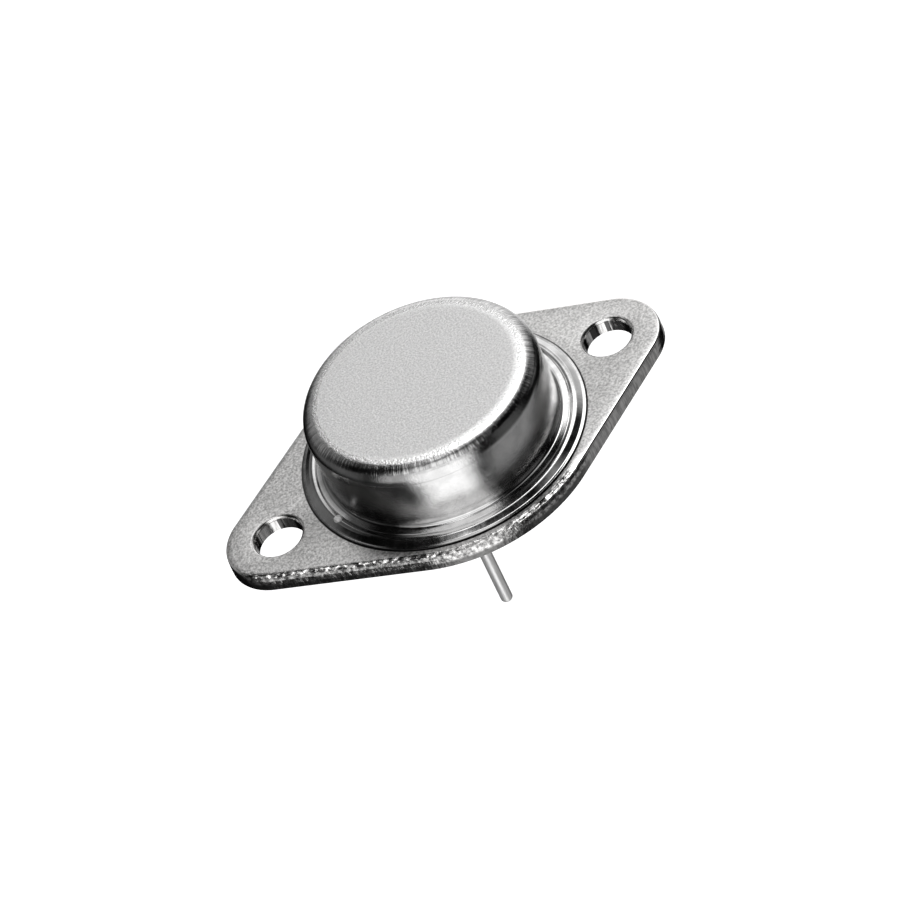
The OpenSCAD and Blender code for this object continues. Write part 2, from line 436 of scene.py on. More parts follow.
def place_group(tree, group, vector, inputs=()):
    node = add(tree, "ShaderNodeGroup", node_tree=group)
    tree.links.new(vector, node.inputs["Vector"])
    for key, value in dict(inputs).items():
        node.inputs[key].default_value = value
    return node


def grained(tree, spot, grain, cloud):
    """The blasted grain, with this many grains and clouds to the metre."""
    return place_group(tree, grain_group(), spot, {"Grain": grain, "Cloud": cloud})


def bump(tree, bsdf, height, distance):
    node = add(tree, "ShaderNodeBump", {"Height": height, "Distance": distance, "Strength": 1.0})
    tree.links.new(node.outputs["Normal"], bsdf.inputs["Normal"])


def shade(colour, factor):
    return tuple(min(1.0, part * factor) for part in colour)


def axis(tree, spot, number):
    """The place's X, Y or Z, numbered from 0."""
    return add(tree, "ShaderNodeSeparateXYZ", {0: spot}).outputs[number]


def stretched(tree, spot, rise):
    """The place with its height scaled, so that a pattern on it runs up and down."""
    return add(tree, "ShaderNodeMapping", {"Vector": spot, "Scale": (1.0, 1.0, rise)}).outputs[0]


def edge_on_shade_mask(tree, start, end):
    """A mask of up to 0.75 for faces that turn away from the eye, where the colour is darkened as painted
    shade.
    """
    return ramp(tree, add(tree, "ShaderNodeLayerWeight").outputs["Facing"], start, end, 0.0, 0.75)


def from_holes(tree, spot, lobe_x):
    """Distance of a place from the axis of the nearer mounting hole."""
    across = math(tree, "SUBTRACT", math(tree, "ABSOLUTE", axis(tree, spot, 0)), lobe_x)
    square = times(tree, across, across)
    along = axis(tree, spot, 1)
    return math(tree, "SQRT", math(tree, "MULTIPLY_ADD", along, along, square))


def edge_slant(plate, high):
    """Direction in which the plate's straight edges face, from the X axis."""
    return acos((high.y - plate.lobe_radius) / (high.x - plate.lobe_radius))


def worn_side(tree, spot, plate, high):
    """A mask for the straight edge that faces -X and -Y, and the round after it."""
    slant = edge_slant(plate, high)
    towards = Vector((-cos(slant), -sin(slant), 0.0))
    reach = add(tree, "ShaderNodeVectorMath", {0: spot, 1: towards}, operation="DOT_PRODUCT").outputs["Value"]
    straight = ramp(tree, reach, high.y - WORN_SIDE[0], high.y - WORN_SIDE[1])
    forward = times(tree, axis(tree, spot, 1), -1.0)
    front = ramp(tree, forward, WORN_ROUND[0] * high.y, WORN_ROUND[1] * high.y)
    return math(tree, "MAXIMUM", straight, front)


def plate_nickel():
    """Matte blasted nickel on top, burnished along the roll that the punch left at the edge, sheared below.
    The side's colour carries painted light: it is painted lighter than the top, with a painted highlight on
    the roll and painted glints on the torn edge, and painted shade on its lower part, in the bores and where
    it is seen edge on; a painted shadow lies in the gap round the cap.
    """
    finish = settings().finishes
    plate = settings().plate
    low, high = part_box("base_plate")
    thick = high.z - low.z
    material, tree, bsdf = new_material("Plate nickel")

    def nickel(factor):
        return shade(finish.plate, factor)

    spot = add(tree, "ShaderNodeTexCoord").outputs["Object"]
    level = axis(tree, spot, 2)
    in_plan = stretched(tree, spot, 0.0)
    radius = add(tree, "ShaderNodeVectorMath", {0: in_plan}, operation="LENGTH").outputs["Value"]
    grain = grained(tree, spot, 5200.0, 420.0)
    tear = grained(tree, spot, 2700.0, 1500.0)
    shear = grained(tree, stretched(tree, spot, 0.12), 3600.0, 900.0)
    streaks = grained(tree, in_plan, 2400.0, 1300.0)

    flat = ramp(tree, level, high.z - 0.032 * MM, high.z - 0.018 * MM)
    side = math(tree, "SUBTRACT", 1.0, flat)
    below = ramp(tree, level, low.z + 0.001 * MM, low.z + 0.01 * MM, 1.0, 0.0)
    sheared = ramp(tree, level, low.z + 0.3 * thick, low.z + 0.55 * thick, 1.0, 0.0)
    # Mask for the roll at the top of the side, where a painted highlight goes.
    roll_highlight = ramp(tree, level, high.z - 1.3 * plate.roll, high.z - 0.9 * plate.roll)
    worn = worn_side(tree, spot, plate, high)
    seam_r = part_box("cap")[1].x
    seam_shadow = ramp(tree, radius, seam_r + 0.07 * MM, seam_r + 0.14 * MM, 1.0, 0.0)
    in_hole = ramp(tree, from_holes(tree, spot, high.x - plate.lobe_radius),
                   plate.hole_radius + 0.02 * MM, plate.hole_radius + 0.06 * MM, 1.0, 0.0)
    bore_streak_shade = times(tree, ramp(tree, streaks.outputs["Cloud"], 0.56, 0.66), in_hole)

    # The torn edge's specks are painted as bright glints and dark spots: a painted highlight and painted
    # shade over its torn texture.
    torn_glints_and_shade = blend_colour(tree, tear.outputs["Speck"], nickel(0.25), nickel(1.85))
    # On the torn side the lower part of the side is painted dark as painted shade, over its sheared texture.
    torn_glints_and_shade = blend_colour(tree, times(tree, sheared, 0.9), torn_glints_and_shade, nickel(0.25))
    # The side's shear speckle, painted lighter than the top as painted light.
    side_speck_and_light = blend_colour(tree, shear.outputs["Speck"], nickel(0.95), nickel(1.75))
    # Along the roll the side is burnished and painted nearly white as a painted highlight.
    side_speck_and_light = blend_colour(tree, roll_highlight, side_speck_and_light, nickel(1.8))
    side_shades = blend_colour(tree, worn, side_speck_and_light, torn_glints_and_shade)
    # Streaks in the bores are painted dark as painted shade.
    side_shades = blend_colour(tree, bore_streak_shade, side_shades, nickel(0.2))
    # Faces seen edge on are painted darker as painted shade.
    side_shades = blend_colour(tree, edge_on_shade_mask(tree, 0.55, 0.85), side_shades, nickel(0.3))
    top_shades = blend_colour(tree, grain.outputs["Speck"], nickel(0.62), nickel(1.3))
    colour = blend_colour(tree, flat, side_shades, top_shades)
    # A painted shadow in the gap between the plate and the cap's rim.
    colour = blend_colour(tree, times(tree, seam_shadow, flat), colour, nickel(0.06))
    under_shades = blend_colour(tree, grain.outputs["Speck"], nickel(1.0), nickel(1.5))
    tree.links.new(blend_colour(tree, below, colour, under_shades), bsdf.inputs["Base Color"])
    tree.links.new(math(tree, "MULTIPLY_ADD", below, -0.55, 1.0), bsdf.inputs["Metallic"])

    rough = math(tree, "MULTIPLY_ADD", grain.outputs["Speck"], 0.08, finish.plate_roughness - 0.04)
    edge = math(tree, "MULTIPLY_ADD", tear.outputs["Cloud"], 0.1, 0.13)
    gloss = add(tree, "ShaderNodeMix", {0: flat, 2: edge, 3: rough}, data_type="FLOAT")
    tree.links.new(gloss.outputs[0], bsdf.inputs["Roughness"])

    shear_depth = math(tree, "MULTIPLY_ADD", sheared, 1.2, 0.2)
    on_side = math(tree, "ADD", times(tree, shear.outputs["Height"], shear_depth),
                   times(tree, tear.outputs["Height"], times(tree, worn, 2.2)))
    height = math(tree, "ADD", times(tree, grain.outputs["Height"], flat),
                  times(tree, side, on_side))
    bump(tree, bsdf, height, 0.014 * MM)
    return material


def cap_nickel():
    """Blasted on top, semi-gloss with draw marks down the wall and over the corner, with painted shade on the
    cap's left side and where its upper part is seen edge on, and a painted shadow in the gap at the rim.
    """
    finish = settings().finishes
    cap = settings().cap
    low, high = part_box("cap")
    material, tree, bsdf = new_material("Cap nickel")

    def nickel(factor):
        return shade(finish.cap, factor)

    spot = add(tree, "ShaderNodeTexCoord").outputs["Object"]
    grain = grained(tree, spot, 6500.0, 700.0)
    satin = grained(tree, spot, 15000.0, 700.0)
    marks = place_group(tree, draw_marks_group(), spot, {"Marks": 34.0, "Length": 260.0})
    ticks = place_group(tree, draw_marks_group(), spot, {"Marks": 55.0, "Length": 500.0})
    level = marks.outputs["Level"]
    radius = marks.outputs["Radius"]

    top = ramp(tree, level, high.z - 0.13 * MM, high.z - 0.02 * MM)
    below_top = math(tree, "SUBTRACT", 1.0, top)
    corner = times(tree, below_top, ramp(tree, level, high.z - 0.42 * cap.corner, high.z - 0.3 * cap.corner))
    on_wall = ramp(tree, level, low.z + 1.4 * cap.sheet, low.z + 2.0 * cap.sheet)
    seam_shadow = ramp(tree, radius, high.x - 0.05 * MM, high.x - 0.02 * MM)
    bead = Vector((*cap.spatter_at, low.z + cap.sheet))
    away = add(tree, "ShaderNodeVectorMath", {0: spot, 1: bead}, operation="DISTANCE").outputs["Value"]
    spatter = ramp(tree, away, 0.9 * cap.spatter, 1.2 * cap.spatter, 1.0, 0.0)
    left_wall_shade = times(tree, ramp(tree, axis(tree, spot, 0), -0.85 * high.x, -0.2 * high.x, 0.55, 0.0),
                   ramp(tree, level, high.z - 1.3 * cap.corner, high.z - 0.8 * cap.corner, 1.0, 0.0))
    edge_on_shade = times(tree, edge_on_shade_mask(tree, 0.5, 0.82),
                    ramp(tree, level, high.z - 1.1 * cap.corner, high.z - 0.9 * cap.corner))
    nicks = times(tree, corner, ticks.outputs["Streak"])
    worn = ramp(tree, radius, cap.wall_radius - 1.5 * cap.corner, cap.wall_radius - 1.05 * cap.corner)

    top_shades = blend_colour(tree, grain.outputs["Speck"], nickel(0.8), nickel(1.16))
    wall_shades = blend_colour(tree, grain.outputs["Cloud"], nickel(0.85), nickel(1.02))
    wall_shades = blend_colour(tree, nicks, wall_shades, nickel(0.5))
    colour = blend_colour(tree, top, wall_shades, top_shades)
    # A painted shadow in the gap under the cap's rim, at its outer edge.
    colour = blend_colour(tree, seam_shadow, colour, nickel(0.06))
    # The cap's left side below the corner is painted dark as painted shade.
    colour = blend_colour(tree, left_wall_shade, colour, nickel(0.2))
    # The corner and top are painted darker where they are seen edge on, as painted shade.
    colour = blend_colour(tree, edge_on_shade, colour, nickel(0.25))
    tree.links.new(blend_colour(tree, spatter, colour, nickel(1.1)), bsdf.inputs["Base Color"])
    tree.links.new(math(tree, "MULTIPLY_ADD", spatter, -0.8, 1.0), bsdf.inputs["Metallic"])

    wall = math(tree, "ADD", times(tree, grain.outputs["Cloud"], 0.06),
                math(tree, "MULTIPLY_ADD", marks.outputs["Streak"], 0.04, finish.wall_roughness - 0.05))
    wall = math(tree, "MULTIPLY_ADD", spatter, 0.45, wall)
    matte = times(tree, top, math(tree, "MULTIPLY_ADD", worn, -0.8, 1.0))
    gloss = add(tree, "ShaderNodeMix", {0: matte, 2: wall, 3: finish.top_roughness}, data_type="FLOAT")
    tree.links.new(gloss.outputs[0], bsdf.inputs["Roughness"])

    blast_depth = math(tree, "MULTIPLY_ADD", top, 1.6, 0.1)
    blasted = math(tree, "ADD", times(tree, grain.outputs["Height"], blast_depth),
                   times(tree, satin.outputs["Height"], times(tree, on_wall, 0.7)))
    drawn = times(tree, marks.outputs["Height"], times(tree, below_top, 0.35))
    nicked = times(tree, ticks.outputs["Height"], times(tree, corner, 3.0))
    height = math(tree, "ADD", blasted, math(tree, "ADD", drawn, nicked))
    bump(tree, bsdf, height, 0.01 * MM)
    return material


def lead_nickel():
    """Satin nickel with fine marks along the lead."""
    finish = settings().finishes
    material, tree, bsdf = new_material("Lead nickel")
    spot = add(tree, "ShaderNodeTexCoord").outputs["Object"]
    grain = grained(tree, stretched(tree, spot, 0.08), 7000.0, 900.0)
    shades = blend_colour(tree, grain.outputs["Speck"], shade(finish.lead, 0.85), shade(finish.lead, 1.1))
    tree.links.new(shades, bsdf.inputs["Base Color"])
    bsdf.inputs["Metallic"].default_value = 0.8
    tree.links.new(math(tree, "MULTIPLY_ADD", grain.outputs["Cloud"], 0.12, 0.28), bsdf.inputs["Roughness"])
    bump(tree, bsdf, grain.outputs["Height"], 0.004 * MM)
    return material


def seal_glass():
    """Dark sealing glass with a few small bubbles."""
    finish = settings().finishes
    material, tree, bsdf = new_material("Seal glass")
    spot = add(tree, "ShaderNodeTexCoord").outputs["Object"]
    bubbles = add(tree, "ShaderNodeTexVoronoi", {"Vector": spot, "Scale": 3500.0})
    pale = ramp(tree, bubbles.outputs["Distance"], 0.12, 0.25, 1.0, 0.0)
    shades = blend_colour(tree, pale, finish.glass, shade(finish.glass, 5.0))
    tree.links.new(shades, bsdf.inputs["Base Color"])
    grain = grained(tree, spot, 2500.0, 900.0)
    tree.links.new(math(tree, "MULTIPLY_ADD", grain.outputs["Cloud"], 0.1, 0.08), bsdf.inputs["Roughness"])
    bsdf.inputs["Coat Weight"].default_value = 0.6
    bsdf.inputs["Coat Roughness"].default_value = 0.05
    bump(tree, bsdf, grain.outputs["Height"], 0.002 * MM)
    return material


def plain_metal(name, colour, roughness, grain_scale, depth):
    """A metal with fine grain and clouds in its colour and gloss."""
    material, tree, bsdf = new_material(name)
    spot = add(tree, "ShaderNodeTexCoord").outputs["Object"]
    grain = grained(tree, spot, grain_scale, 800.0)
    shades = blend_colour(tree, grain.outputs["Cloud"], shade(colour, 0.82), shade(colour, 1.08))
    tree.links.new(shades, bsdf.inputs["Base Color"])
    bsdf.inputs["Metallic"].default_value = 1.0
    tree.links.new(math(tree, "MULTIPLY_ADD", grain.outputs["Speck"], 0.12, roughness - 0.06),
                   bsdf.inputs["Roughness"])
    bump(tree, bsdf, grain.outputs["Height"], depth)
    return material


def silicon():
    """Dark polished silicon with rows of pale aluminium fingers."""
    low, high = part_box("silicon_die")
    columns, rows = 4, 16
    material, tree, bsdf = new_material("Silicon")
    spot = add(tree, "ShaderNodeTexCoord").outputs["Object"]
    fingers = add(tree, "ShaderNodeTexBrick", {
        "Vector": spot, "Color1": (0.62, 0.62, 0.63, 1.0), "Color2": (0.5, 0.5, 0.52, 1.0),
        "Mortar": (0.07, 0.08, 0.12, 1.0), "Scale": 1.0, "Mortar Size": 0.05 * MM, "Mortar Smooth": 0.2,
        "Brick Width": (high.x - low.x) / columns, "Row Height": (high.y - low.y) / rows})
    grain = grained(tree, spot, 9000.0, 1500.0)
    tree.links.new(fingers.outputs["Color"], bsdf.inputs["Base Color"])
    bsdf.inputs["Metallic"].default_value = 0.7
    tree.links.new(math(tree, "MULTIPLY_ADD", grain.outputs["Cloud"], 0.1, 0.14), bsdf.inputs["Roughness"])
    bump(tree, bsdf, grain.outputs["Height"], 0.001 * MM)
    return material


def clear_gel():
    """Pale silicone gel that lets some light through."""
    material, tree, bsdf = new_material("Clear gel")
    spot = add(tree, "ShaderNodeTexCoord").outputs["Object"]
    grain = grained(tree, spot, 1500.0, 700.0)
    shades = blend_colour(tree, grain.outputs["Cloud"], (0.8, 0.82, 0.78), (0.93, 0.94, 0.92))
    tree.links.new(shades, bsdf.inputs["Base Color"])
    bsdf.inputs["Transmission Weight"].default_value = 0.75
    bsdf.inputs["IOR"].default_value = 1.41
    tree.links.new(math(tree, "MULTIPLY_ADD", grain.outputs["Speck"], 0.08, 0.08), bsdf.inputs["Roughness"])
    bump(tree, bsdf, grain.outputs["Height"], 0.004 * MM)
    return material


# Pieces


class TRANSISTOR_OT_cap(bpy.types.Operator):
    """Draw the cap from a ring: closed top, wall, bend and coined flange, with the sheet's inner face"""

    bl_idname = "transistor.cap"
    bl_label = "Cap"

    def execute(self, context):
        cap = settings().cap
        low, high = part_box("cap")
        wall, sheet, foot = cap.wall_radius, cap.sheet, cap.foot
        bottom, top = low.z, high.z
        face, inner_top, lip = bottom + sheet, top - sheet, bottom + cap.lip
        inside, rim = wall - sheet, high.x
        flat_end = wall - 1.35 * cap.corner
        start, inner_end = 0.3 * wall, 0.5 * wall
        band = wall + foot + cap.band
        crest = band + cap.crest
        crest_z = face + cap.crest_height
        slope = crest + cap.slope
        knee = (crest + 0.35 * cap.slope, face - 0.2 * cap.crest_height)
        profile = [
            (start, top), (2 * start, top), (flat_end, top), (wall, top - cap.rim_drop),
            *self.wall_points(cap, top - cap.corner, face + foot), (wall, face),
            (band - cap.groove, face), (band - cap.groove / 2, face - cap.groove_depth), (band, face),
            (crest, crest_z), knee, (slope, lip), (rim, lip),
            (rim, bottom + cap.lip_gap), (slope, bottom + cap.lip_gap), (crest, bottom),
            (inside, bottom), (inside, inner_top), (inner_end, inner_top),
        ]
        piece = turned("cap_shell", profile, cap.steps)
        fill_end(start, top)
        fill_end(inner_end, inner_top)
        pick("faces", lambda part: len(part.verts) > 4)
        bpy.ops.mesh.poke()
        outward()
        bevel((
            (wall, top - cap.rim_drop, cap.corner - cap.rim_drop, 16), (flat_end, top, cap.crown, 5),
            (wall, face, foot, 8), (inside, inner_top, cap.corner - sheet, 6),
            (inside, bottom, sheet + foot, 6), (rim, lip, 0.03 * MM, 3), (crest, crest_z, 0.05 * MM, 3),
            (slope, lip, 0.06 * MM, 3), (*knee, 0.08 * MM, 4),
        ))
        edit()
        bead = (*cap.spatter_at, face + cap.spatter_rise)
        bpy.ops.mesh.primitive_uv_sphere_add(segments=24, ring_count=12, radius=cap.spatter, location=bead)
        bpy.ops.transform.resize(value=(1, 1, 0.45), center_override=bead)

        def wall_part(co):
            on_wall = near(hypot(co.x, co.y), wall, 0.2 * MM)
            return float(on_wall and face + foot < co.z < top - cap.corner)

        wrinkle(piece, "Drawn wall", wall_part, 3.5 * MM, cap.wave, 0.5)
        finish_piece(piece, "cap", cap_nickel())
        return {"FINISHED"}

    def wall_points(self, cap, under, last):
        """The wall from the crease under its corner down to its foot, as (radius, height) points."""
        crease = ((0.0, 0.02), (1.0, 0.06), (0.8, 0.13), (0.1, 0.3))  # share of its depth, mm from the corner
        points = [(cap.wall_radius - cap.crease * share, under - drop * MM) for share, drop in crease]
        steps_down = 16
        first = points[-1][1]
        points += [(cap.wall_radius, first + (last - first) * n / steps_down) for n in range(1, steps_down)]
        return points


def cut(piece, radius, centre, low, high, steps):
    """Punches a round hole through the piece."""
    leave_edit()
    bpy.ops.mesh.primitive_cylinder_add(
        vertices=steps, radius=radius, depth=high - low, location=(*centre, (low + high) / 2))
    cutter = bpy.context.object
    bpy.ops.object.transform_apply()
    leave_edit()
    punch = piece.modifiers.new("Punch", "BOOLEAN")
    punch.operation = "DIFFERENCE"
    punch.solver = "EXACT"
    punch.object = cutter
    apply_modifiers(piece)
    bpy.data.meshes.remove(cutter.data)


class TRANSISTOR_OT_base_plate(bpy.types.Operator):
    """Stretch the plate round three discs, punch its holes and roll its top edges"""

    bl_idname = "transistor.base_plate"
    bl_label = "Base plate"

    def execute(self, context):
        plate = settings().plate
        low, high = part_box("base_plate")
        thick = high.z - low.z
        lobe_x = high.x - plate.lobe_radius
        piece = self.stretch_plate(plate, low, high)

        def top_rim(edge):
            return (all(near(v.co.z, high.z) for v in edge.verts) and len(edge.link_faces) == 2
                    and edge.calc_face_angle(0) > radians(45))

        def upright(edge):
            return near(abs(edge.verts[0].co.z - edge.verts[1].co.z), thick - plate.roll, 0.02 * MM)

        def roll_rim(radius, segments):
            pick("edges", top_rim)
            bpy.ops.mesh.bevel(offset=radius, offset_type="OFFSET", segments=segments, profile=0.5,
                               affect="EDGES", clamp_overlap=False)

        roll_rim(plate.roll, 6)
        pick("faces", lambda face: face.normal.z > 0.999 and near(face.calc_center_median().z, high.z))
        rings = 4
        for ring in range(rings + 1):  # the last ring is never pressed, so the wide face in it shades evenly
            bpy.ops.mesh.inset(thickness=plate.band / rings, use_boundary=True, use_even_offset=False)
            bpy.ops.transform.resize(value=(1, 1, 0), center_override=(0, 0, high.z))
        pick("edges", upright)
        bpy.ops.mesh.subdivide(number_cuts=6)
        leave_edit()
        for side in (-1, 1):
            cut(piece, plate.hole_radius, (side * lobe_x, 0), low.z - thick, high.z + thick, 96)
        edit()
        roll_rim(plate.hole_roll, 8)
        leave_edit()
        for node in ("emitter_glass_seal", "base_glass_seal"):
            near_corner, far_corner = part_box(node)
            middle = (near_corner + far_corner) / 2
            radius = (far_corner.x - near_corner.x) / 2
            cut(piece, radius, (middle.x, middle.y), low.z - thick, high.z + thick, settings().lead.steps)
        edit()
        outward()
        self.press_edge(piece, plate, low, high)
        finish_piece(piece, "base_plate", plate_nickel(), 30)
        return {"FINISHED"}

    def stretch_plate(self, plate, low, high):
        """A flat plate stretched round a wide disc and a lobe at each end, still in edit mode."""
        thick = high.z - low.z
        lobe_x = high.x - plate.lobe_radius
        leave_edit()
        discs = []
        for x, radius in ((0.0, high.y), (lobe_x, plate.lobe_radius), (-lobe_x, plate.lobe_radius)):
            steps = int(2 * pi * radius / plate.step / 4) * 4
            bpy.ops.mesh.primitive_cylinder_add(
                vertices=steps, radius=radius, depth=thick, location=(x, 0, low.z + thick / 2))
            discs.append(bpy.context.object)
        for disc in discs:
            disc.select_set(True)
        bpy.context.view_layer.objects.active = discs[0]
        bpy.ops.object.join()
        piece = bpy.context.object
        piece.name = piece.data.name = "punched_plate"
        bpy.ops.object.transform_apply()
        edit()
        bpy.ops.mesh.select_all(action="SELECT")
        bpy.ops.mesh.convex_hull()
        bpy.ops.mesh.select_all(action="SELECT")
        bpy.ops.mesh.dissolve_limited(angle_limit=radians(0.2))
        long_edge = 10 * plate.step
        pick("edges", lambda edge: edge.calc_length() > long_edge)
        bpy.ops.mesh.subdivide(number_cuts=80)
        return piece

    def press_edge(self, piece, plate, low, high):
        """Presses in what the punch dragged, sank, tore and sheared along the edge."""
        thick = high.z - low.z
        lobe_x = high.x - plate.lobe_radius
        slant = edge_slant(plate, high)

        def from_edge(co):
            """Distance of a point inside the plate from its outline."""
            x, y = abs(co.x), abs(co.y)
            if atan2(y, x - lobe_x) < slant:
                return plate.lobe_radius - hypot(x - lobe_x, y)
            if atan2(y, x) > slant:
                return high.y - hypot(x, y)
            return high.y - x * cos(slant) - y * sin(slant)

        def torn(co):
            """The worn side of the punch tore the edge that faces -X and -Y, and the round after it."""
            if co.z < high.z - 1.2 * plate.roll or from_edge(co) > plate.roll + 0.9 * plate.band:
                return 0.0
            reach = -co.x * cos(slant) - co.y * sin(slant)
            straight = part_way(reach, high.y - WORN_SIDE[0], high.y - WORN_SIDE[1])
            return max(straight, part_way(-co.y, WORN_ROUND[0] * high.y, WORN_ROUND[1] * high.y))

        def sunk(co):
            """The top sinks gently towards the outline before the edge rolls over."""
            if co.z < high.z - 1.05 * plate.roll:
                return 0.0
            return part_way(from_edge(co), plate.roll + plate.band, plate.roll) ** 2

        def rolled_over(co):
            """The punch dragged the upper part of the side inwards, most near the top."""
            if from_edge(co) > 1.1 * plate.roll:
                return 0.0
            upper_part = part_way(co.z, low.z + 0.4 * thick, low.z + 0.85 * thick)
            return upper_part * part_way(co.z, high.z, high.z - plate.roll)

        def sheared(co):
            """The side between the roll and the seating face."""
            between = low.z + 0.01 * MM < co.z < high.z - plate.roll
            return float(between and from_edge(co) < 0.2 * MM)

        wrinkle(piece, "Rolled over", rolled_over, None, plate.drag, 0.0)
        wrinkle(piece, "Sunk edge", sunk, None, plate.sink, 0.0)
        wrinkle(piece, "Torn edge", torn, 0.34 * MM, plate.tear, 1.0)
        wrinkle(piece, "Sheared side", sheared, 0.5 * MM, 0.03 * MM, 1.0)


def second(piece, name):
    """A copy of the piece, with its own mesh."""
    piece.select_set(True)
    bpy.context.view_layer.objects.active = piece
    bpy.ops.object.duplicate()
    other = bpy.context.object
    other.name = other.data.name = name
    return other


def move_to(piece, node):
    """Moves a piece that was turned round the Z axis to the axis of its frame node."""
    corner_low, corner_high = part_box(node)
    piece.location = ((corner_low.x + corner_high.x) / 2, (corner_low.y + corner_high.y) / 2, 0)
    leave_edit()
    piece.select_set(True)
    bpy.context.view_layer.objects.active = piece
    bpy.ops.object.transform_apply()


class TRANSISTOR_OT_leads(bpy.types.Operator):
    """Turn one lead with its neck, head and rounded tip, and copy it for the second"""

    bl_idname = "transistor.leads"
    bl_label = "Leads"

    def execute(self, context):
        lead = settings().lead
        low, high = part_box("emitter_lead")
        head = (high.x - low.x) / 2
        plate_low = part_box("base_plate")[0].z
        tip_start, head_end = 0.35 * lead.radius, 0.5 * head
        under_head = high.z - lead.head
        profile = [
            (tip_start, low.z), (lead.radius, low.z), (lead.radius, low.z + 3 * MM),
            (lead.radius, plate_low), (lead.neck, plate_low),
            (lead.neck, under_head), (head, under_head), (head, high.z), (head_end, high.z),
        ]
        piece = turned("emitter_pin", profile, lead.steps)
        fill_end(tip_start, low.z)
        fill_end(head_end, high.z)
        outward()
        bevel((
            (lead.radius, low.z, lead.tip, 6), (head, high.z, 0.05 * MM, 2), (head, under_head, 0.05 * MM, 2),
        ))
        leave_edit()
        other = second(piece, "base_pin")
        material = lead_nickel()
        for pin, node in ((piece, "emitter_lead"), (other, "base_lead")):
            move_to(pin, node)
            finish_piece(pin, node, material)
        return {"FINISHED"}


class TRANSISTOR_OT_glass_seals(bpy.types.Operator):
    """Turn one glass bead with hollow faces, and copy it for the second"""

    bl_idname = "transistor.glass_seals"
    bl_label = "Glass seals"

    def execute(self, context):
        lead = settings().lead
        low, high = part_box("emitter_glass_seal")
        outer = (high.x - low.x) / 2
        inner = lead.neck
        middle, half = (outer + inner) / 2, (outer - inner) / 2
        rings = 6
        across = [t / rings for t in range(-rings, rings + 1)]
        dip = [(middle + half * t, lead.dip * (1 - t ** 2)) for t in across]
        profile = ([(r, low.z + d) for r, d in dip] + [(r, high.z - d) for r, d in reversed(dip)]
                   + [(inner, low.z)])
        piece = turned("emitter_bead", profile, lead.steps, closed=True)
        outward()
        leave_edit()
        other = second(piece, "base_bead")
        material = seal_glass()
        for bead, node in ((piece, "emitter_glass_seal"), (other, "base_glass_seal")):
            move_to(bead, node)
            finish_piece(bead, node, material)
        return {"FINISHED"}


class TRANSISTOR_OT_inner_parts(bpy.types.Operator):
    """Finish the parts inside the can"""

    bl_idname = "transistor.inner_parts"
    bl_label = "Inner parts"

    def execute(self, context):
        finishes = {
            "spreader_braze": plain_metal("Braze", (0.74, 0.73, 0.68), 0.3, 3000.0, 0.006 * MM),
            "heat_spreader": plain_metal("Copper", (0.72, 0.4, 0.27), 0.32, 5000.0, 0.006 * MM),
            "die_solder": plain_metal("Solder", (0.5, 0.5, 0.52), 0.3, 2500.0, 0.01 * MM),
            "silicon_die": silicon(),
            "die_coating": clear_gel(),
        }
        wire = plain_metal("Aluminium wire", (0.82, 0.82, 0.83), 0.28, 8000.0, 0.003 * MM)
        finishes.update({name: wire for name in ("emitter_wire_outer", "emitter_wire_inner", "base_wire")})
        for name, material in finishes.items():
            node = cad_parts[name]
            node.data.materials.clear()
            node.data.materials.append(material)
        return {"FINISHED"}


def window_group():
    """A soft-edged window of light in the sky, at an azimuth and elevation given in radians."""
    tree, given, made = new_group("Soft window", [
        ("Vector", "NodeSocketVector", None), ("Azimuth", "NodeSocketFloat", 0.0),
        ("Elevation", "NodeSocketFloat", 0.0), ("Half width", "NodeSocketFloat", 0.3),
        ("Half height", "NodeSocketFloat", 0.3), ("Softness", "NodeSocketFloat", 0.1),
    ], ["Mask"])
    parts = add(tree, "ShaderNodeSeparateXYZ", {0: given.outputs["Vector"]})
    bearing = math(tree, "ARCTAN2", parts.outputs[1], parts.outputs[0])
    across = math(tree, "WRAP", math(tree, "SUBTRACT", bearing, given.outputs["Azimuth"]), pi, -pi)
    up = math(tree, "SUBTRACT", math(tree, "ARCSINE", parts.outputs[2]), given.outputs["Elevation"])
    masks = []
    for offset, half in ((across, "Half width"), (up, "Half height")):
        distance = math(tree, "ABSOLUTE", offset)
        inner = math(tree, "SUBTRACT", given.outputs[half], given.outputs["Softness"])
        outer = math(tree, "ADD", given.outputs[half], given.outputs["Softness"])
        node = add(tree, "ShaderNodeMapRange", {
            "Value": distance, "From Min": inner, "From Max": outer, "To Min": 1.0, "To Max": 0.0,
        }, interpolation_type="SMOOTHSTEP")
        masks.append(node.outputs["Result"])
    tree.links.new(times(tree, *masks), made.inputs["Mask"])
    return tree


